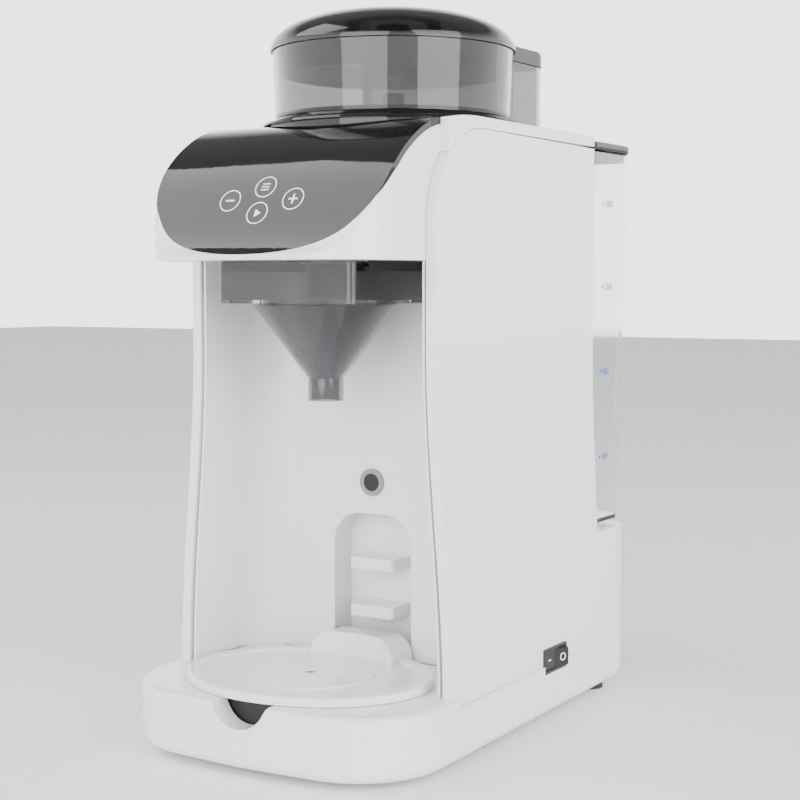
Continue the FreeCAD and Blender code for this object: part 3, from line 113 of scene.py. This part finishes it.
# The colour, the roughness and what differs from a plain moulded surface
LOOK_TABLE = {
    "white_plastic": ((0.76, 0.76, 0.77), 0.22, {"coat": 0.3}),
    "black_gloss": ((0.008, 0.008, 0.009), 0.06, GLASSY),
    "smoke_clear": ((0.34, 0.34, 0.35), 0.04, SEE_THROUGH),
    "smoke_dark": ((0.12, 0.12, 0.125), 0.04, SEE_THROUGH),
    "clear_tank": ((0.96, 0.975, 0.98), 0.03, SEE_THROUGH),
    "dark_plastic": ((0.006, 0.006, 0.007), 0.4, {"relief": 0.08}),
    "rubber_black": ((0.02, 0.02, 0.02), 0.7, {"relief": 0.15}),
    "rubber_clear": ((0.72, 0.72, 0.7), 0.45, {}),
    "steel": ((0.62, 0.62, 0.63), 0.3, {"metal": 1.0, "stretch": (1, 1, 12)}),
    "grey_plastic": ((0.22, 0.22, 0.23), 0.4, {"relief": 0.08}),
    "board_green": ((0.03, 0.17, 0.07), 0.42, {"shade": 0.2}),
    "alloy": ((0.68, 0.68, 0.69), 0.42, {"metal": 1.0}),
    "nylon": ((0.78, 0.76, 0.7), 0.45, {}),
    "key_white": ((0.85, 0.85, 0.85), 0.4, {}),
    "mark_blue": ((0.0, 0.05, 0.3), 0.5, {}),
}
LOOKS = {name: surface(name, colour, rough, **rest)
         for name, (colour, rough, rest) in LOOK_TABLE.items()}

# The lids are tinted more deeply than the bowl and the drawer
DEEPER = {"hopper_lid": "smoke_dark", "tank_lid": "smoke_dark"}
for part in frame["record"]["subparts"]:
    owner = NODES[part["node"]]
    owner.data.materials.clear()
    owner.data.materials.append(LOOKS[DEEPER.get(part["node"], part["material_slot"])])


# Marks that lie on a node's surface

VIEW = bpy.context.evaluated_depsgraph_get()
TREES = {}
MARK_LIFT = 0.06 * MM
MARK_THICK = 0.05 * MM
SEARCH_START = 12
SAME_POINT = 1e-6


def lay_on(node, point, towards):
    """The place on a node's surface that is met from a point, moving one way."""
    if node not in TREES:
        TREES[node] = BVHTree.FromObject(NODES[node], VIEW)
    hit = TREES[node].ray_cast(point, towards)
    if hit[0] is None:
        raise RuntimeError("nothing of %s is met from %s" % (node, tuple(point)))
    return hit[0]


def printed(name, node, body, patches, centre, across, up, look):
    """Thin print on a node: each patch is a grid of (across, up) rows, in millimetres."""
    out = across.cross(up).normalized()
    form = bmesh.new()
    for rows in patches:
        grid = []
        for row in rows:
            line = []
            for u, v in row:
                spot = centre + across * u * MM + up * v * MM + out * SEARCH_START * MM
                line.append(form.verts.new(lay_on(node, spot, -out) + out * MARK_LIFT))
            grid.append(line)
        for low, high in zip(grid, grid[1:]):
            for i in range(len(low) - 1):
                form.faces.new((low[i], low[i + 1], high[i + 1], high[i]))
    bmesh.ops.remove_doubles(form, verts=form.verts, dist=SAME_POINT)
    mesh = bpy.data.meshes.new(name)
    form.to_mesh(mesh)
    form.free()
    made = bpy.data.objects.new(name, mesh)
    bpy.context.scene.collection.objects.link(made)
    mesh.materials.append(LOOKS[look])
    thick = made.modifiers.new("print", "SOLIDIFY")
    thick.thickness = MARK_THICK
    thick.offset = 0
    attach(made, body)


def ring(radius, width, u=0.0, v=0.0, steps=56):
    """A ring as a patch: three rows of points round a centre."""
    rows = []
    for r in (radius - width / 2, radius, radius + width / 2):
        turns = [2 * math.pi * i / steps for i in range(steps + 1)]
        rows.append([(u + r * math.cos(t), v + r * math.sin(t)) for t in turns])
    return rows


def bar(width, height, u=0.0, v=0.0, steps=8):
    """A straight bar as a patch."""
    ticks = [width * (i / steps - 0.5) for i in range(steps + 1)]
    return [[(u + a, v + b) for a in ticks] for b in (-height / 2, 0, height / 2)]


def arrow(width, height, u=0.0, v=0.0, steps=6):
    """A triangle that points to the right, as a patch."""
    rows = []
    for share in (-1, -0.5, 0, 0.5, 1):
        reach = width * (1 - abs(share))
        ticks = [u - width / 2 + reach * i / steps for i in range(steps + 1)]
        rows.append([(tick, v + share * height / 2) for tick in ticks])
    return rows


# Touch keys, each a circle with a sign in it
PANEL_TILT = math.radians(31)
PANEL_UP = Vector((0, math.sin(PANEL_TILT), math.cos(PANEL_TILT)))
PANEL_ACROSS = Vector((1, 0, 0))
PANEL_MIDDLE = Vector((0, -0.1289, 0.2826))
KEY_RADIUS = 5.9
KEY_LINE = 0.55
KEY_REACH = 19.0
KEY_RISE = 7.5
SIGN = 5.4
SIGN_LINE = 0.9
LIST_WIDTH = 4.6
LIST_LINE = 0.6
LIST_STEP = 1.7
START_WIDTH = 3.6
START_HEIGHT = 4.4
START_SHIFT = 0.4
KEYS = {
    "key_minus": ((-KEY_REACH, 0), [bar(SIGN, SIGN_LINE, -KEY_REACH)]),
    "key_plus": ((KEY_REACH, 0), [bar(SIGN, SIGN_LINE, KEY_REACH),
                                  bar(SIGN_LINE, SIGN, KEY_REACH)]),
    "key_list": ((0, KEY_RISE), [bar(LIST_WIDTH, LIST_LINE, 0, KEY_RISE + rise)
                                 for rise in (-LIST_STEP, 0, LIST_STEP)]),
    "key_start": ((0, -KEY_RISE), [arrow(START_WIDTH, START_HEIGHT, START_SHIFT, -KEY_RISE)]),
}
for key, ((u, v), sign) in KEYS.items():
    printed(key, "control_panel", "machine", [ring(KEY_RADIUS, KEY_LINE, u, v)] + sign,
            PANEL_MIDDLE, PANEL_ACROSS, PANEL_UP, "key_white")

# Marks of the tank: a dot and a plain number at each height, on its right side
MARK_HEIGHTS = {"1800": 288.5, "1300": 239.8, "800": 189.9, "300": 139.2}
BESIDE_TANK = 85.0
DOT_Y = 106.0
DOT_RADIUS = 0.45
NUMBER_Y = 108.6
DIGIT_HEIGHT = 4.0
LETTER_SIZE = 1.4 * DIGIT_HEIGHT
SIDEWAYS = Matrix(((0, 0, 1), (1, 0, 0), (0, 1, 0)))
BACKWARDS = Vector((0, 1, 0))
UPWARDS = Vector((0, 0, 1))
INWARDS = Vector((-1, 0, 0))
for number, height in MARK_HEIGHTS.items():
    middle = Vector((BESIDE_TANK * MM, DOT_Y * MM, height * MM))
    face_x = lay_on("water_tank", middle, INWARDS).x
    spot = Vector((face_x, DOT_Y * MM, height * MM))
    printed("dot_" + number, "water_tank", "tank", [ring(DOT_RADIUS, 2 * DOT_RADIUS)], spot,
            BACKWARDS, UPWARDS, "mark_blue")
    words = bpy.data.curves.new("number_" + number, "FONT")
    words.body = number
    words.size = LETTER_SIZE * MM
    words.extrude = MARK_THICK / 2
    words.materials.append(LOOKS["mark_blue"])
    text = bpy.data.objects.new("number_" + number, words)
    bpy.context.scene.collection.objects.link(text)
    low = (height - DIGIT_HEIGHT / 2) * MM
    where = Vector((face_x + MARK_LIFT, NUMBER_Y * MM, low))
    text.matrix_world = Matrix.Translation(where) @ SIDEWAYS.to_4x4()
    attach(text, "tank")

# On and off signs of the rocker
ROCKER_MIDDLE = Vector((0.0785, 0.029, 0.0346))
ROCKER_REACH = 6.2
ON_WIDTH = 3.2
ON_LINE = 0.7
OFF_RADIUS = 1.9
OFF_LINE = 0.6
printed("sign_on", "power_rocker", "rocker", [bar(ON_WIDTH, ON_LINE, -ROCKER_REACH)],
        ROCKER_MIDDLE, BACKWARDS, UPWARDS, "key_white")
printed("sign_off", "power_rocker", "rocker", [ring(OFF_RADIUS, OFF_LINE, ROCKER_REACH)],
        ROCKER_MIDDLE, BACKWARDS, UPWARDS, "key_white")


# Floor

FLOOR_REACH = 6.0
FLOOR_COLOUR = (0.93, 0.93, 0.93)
FLOOR_ROUGH = 0.7
FLOOR_SHADE = 0.01
floor_mesh = bpy.data.meshes.new("floor")
corners = [(-FLOOR_REACH, -FLOOR_REACH, 0), (FLOOR_REACH, -FLOOR_REACH, 0),
           (FLOOR_REACH, FLOOR_REACH, 0), (-FLOOR_REACH, FLOOR_REACH, 0)]
floor_mesh.from_pydata(corners, [], [(0, 1, 2, 3)])
floor = bpy.data.objects.new("floor", floor_mesh)
bpy.context.scene.collection.objects.link(floor)
floor_mesh.materials.append(surface("floor_pale", FLOOR_COLOUR, FLOOR_ROUGH, shade=FLOOR_SHADE))


# Lamps: the place, what it points at, width and height, and power in watts

MIDDLE = (0, 0, 0.2)
PANEL_SPOT = (0, -0.12, 0.27)
SOFTBOXES = {
    "panel_light": ((-0.95, -0.66, 1.42), PANEL_SPOT, (1.1, 0.9), 15),
    "right_light": ((1.9, -0.5, 0.9), MIDDLE, (1.6, 1.8), 50),
    "front_light": ((0.2, -2.2, 0.8), MIDDLE, (1.8, 1.6), 42),
}
for name, (place, target, size, power) in SOFTBOXES.items():
    light = bpy.data.lights.new(name, "AREA")
    light.shape = "RECTANGLE"
    light.size, light.size_y = size
    light.energy = power
    lamp = bpy.data.objects.new(name, light)
    bpy.context.scene.collection.objects.link(lamp)
    lamp.location = place
    facing = (Vector(target) - Vector(place)).to_track_quat("-Z", "Y")
    lamp.rotation_euler = facing.to_euler()


# World: light from below and the horizon, darker above

SKY_STRENGTH = 3.2
LOW_SKY = (0.3, (1, 1, 1, 1))
HIGH_SKY = (0.6, (0.1, 0.1, 0.1, 1))
world = bpy.data.worlds.new("studio")
bpy.context.scene.world = world
world.use_nodes = True
sky = world.node_tree.nodes
wire = world.node_tree.links.new
direction = sky.new("ShaderNodeTexCoord")
split = sky.new("ShaderNodeSeparateXYZ")
wire(direction.outputs["Generated"], split.inputs["Vector"])
ramp = sky.new("ShaderNodeValToRGB")
for element, (position, colour) in zip(ramp.color_ramp.elements, (LOW_SKY, HIGH_SKY)):
    element.position = position
    element.color = colour
wire(split.outputs["Z"], ramp.inputs["Fac"])
wire(ramp.outputs["Color"], sky["Background"].inputs["Color"])
sky["Background"].inputs["Strength"].default_value = SKY_STRENGTH


# Camera

lens = bpy.data.cameras.new("camera")
lens.lens = CAMERA_LENS
lens.sensor_width = SENSOR
camera = bpy.data.objects.new("camera", lens)
bpy.context.scene.collection.objects.link(camera)
camera.location = CAMERA_PLACE
camera.rotation_euler = (math.radians(90 - CAMERA_DROP), 0, math.radians(CAMERA_AZIMUTH))
bpy.context.scene.camera = camera
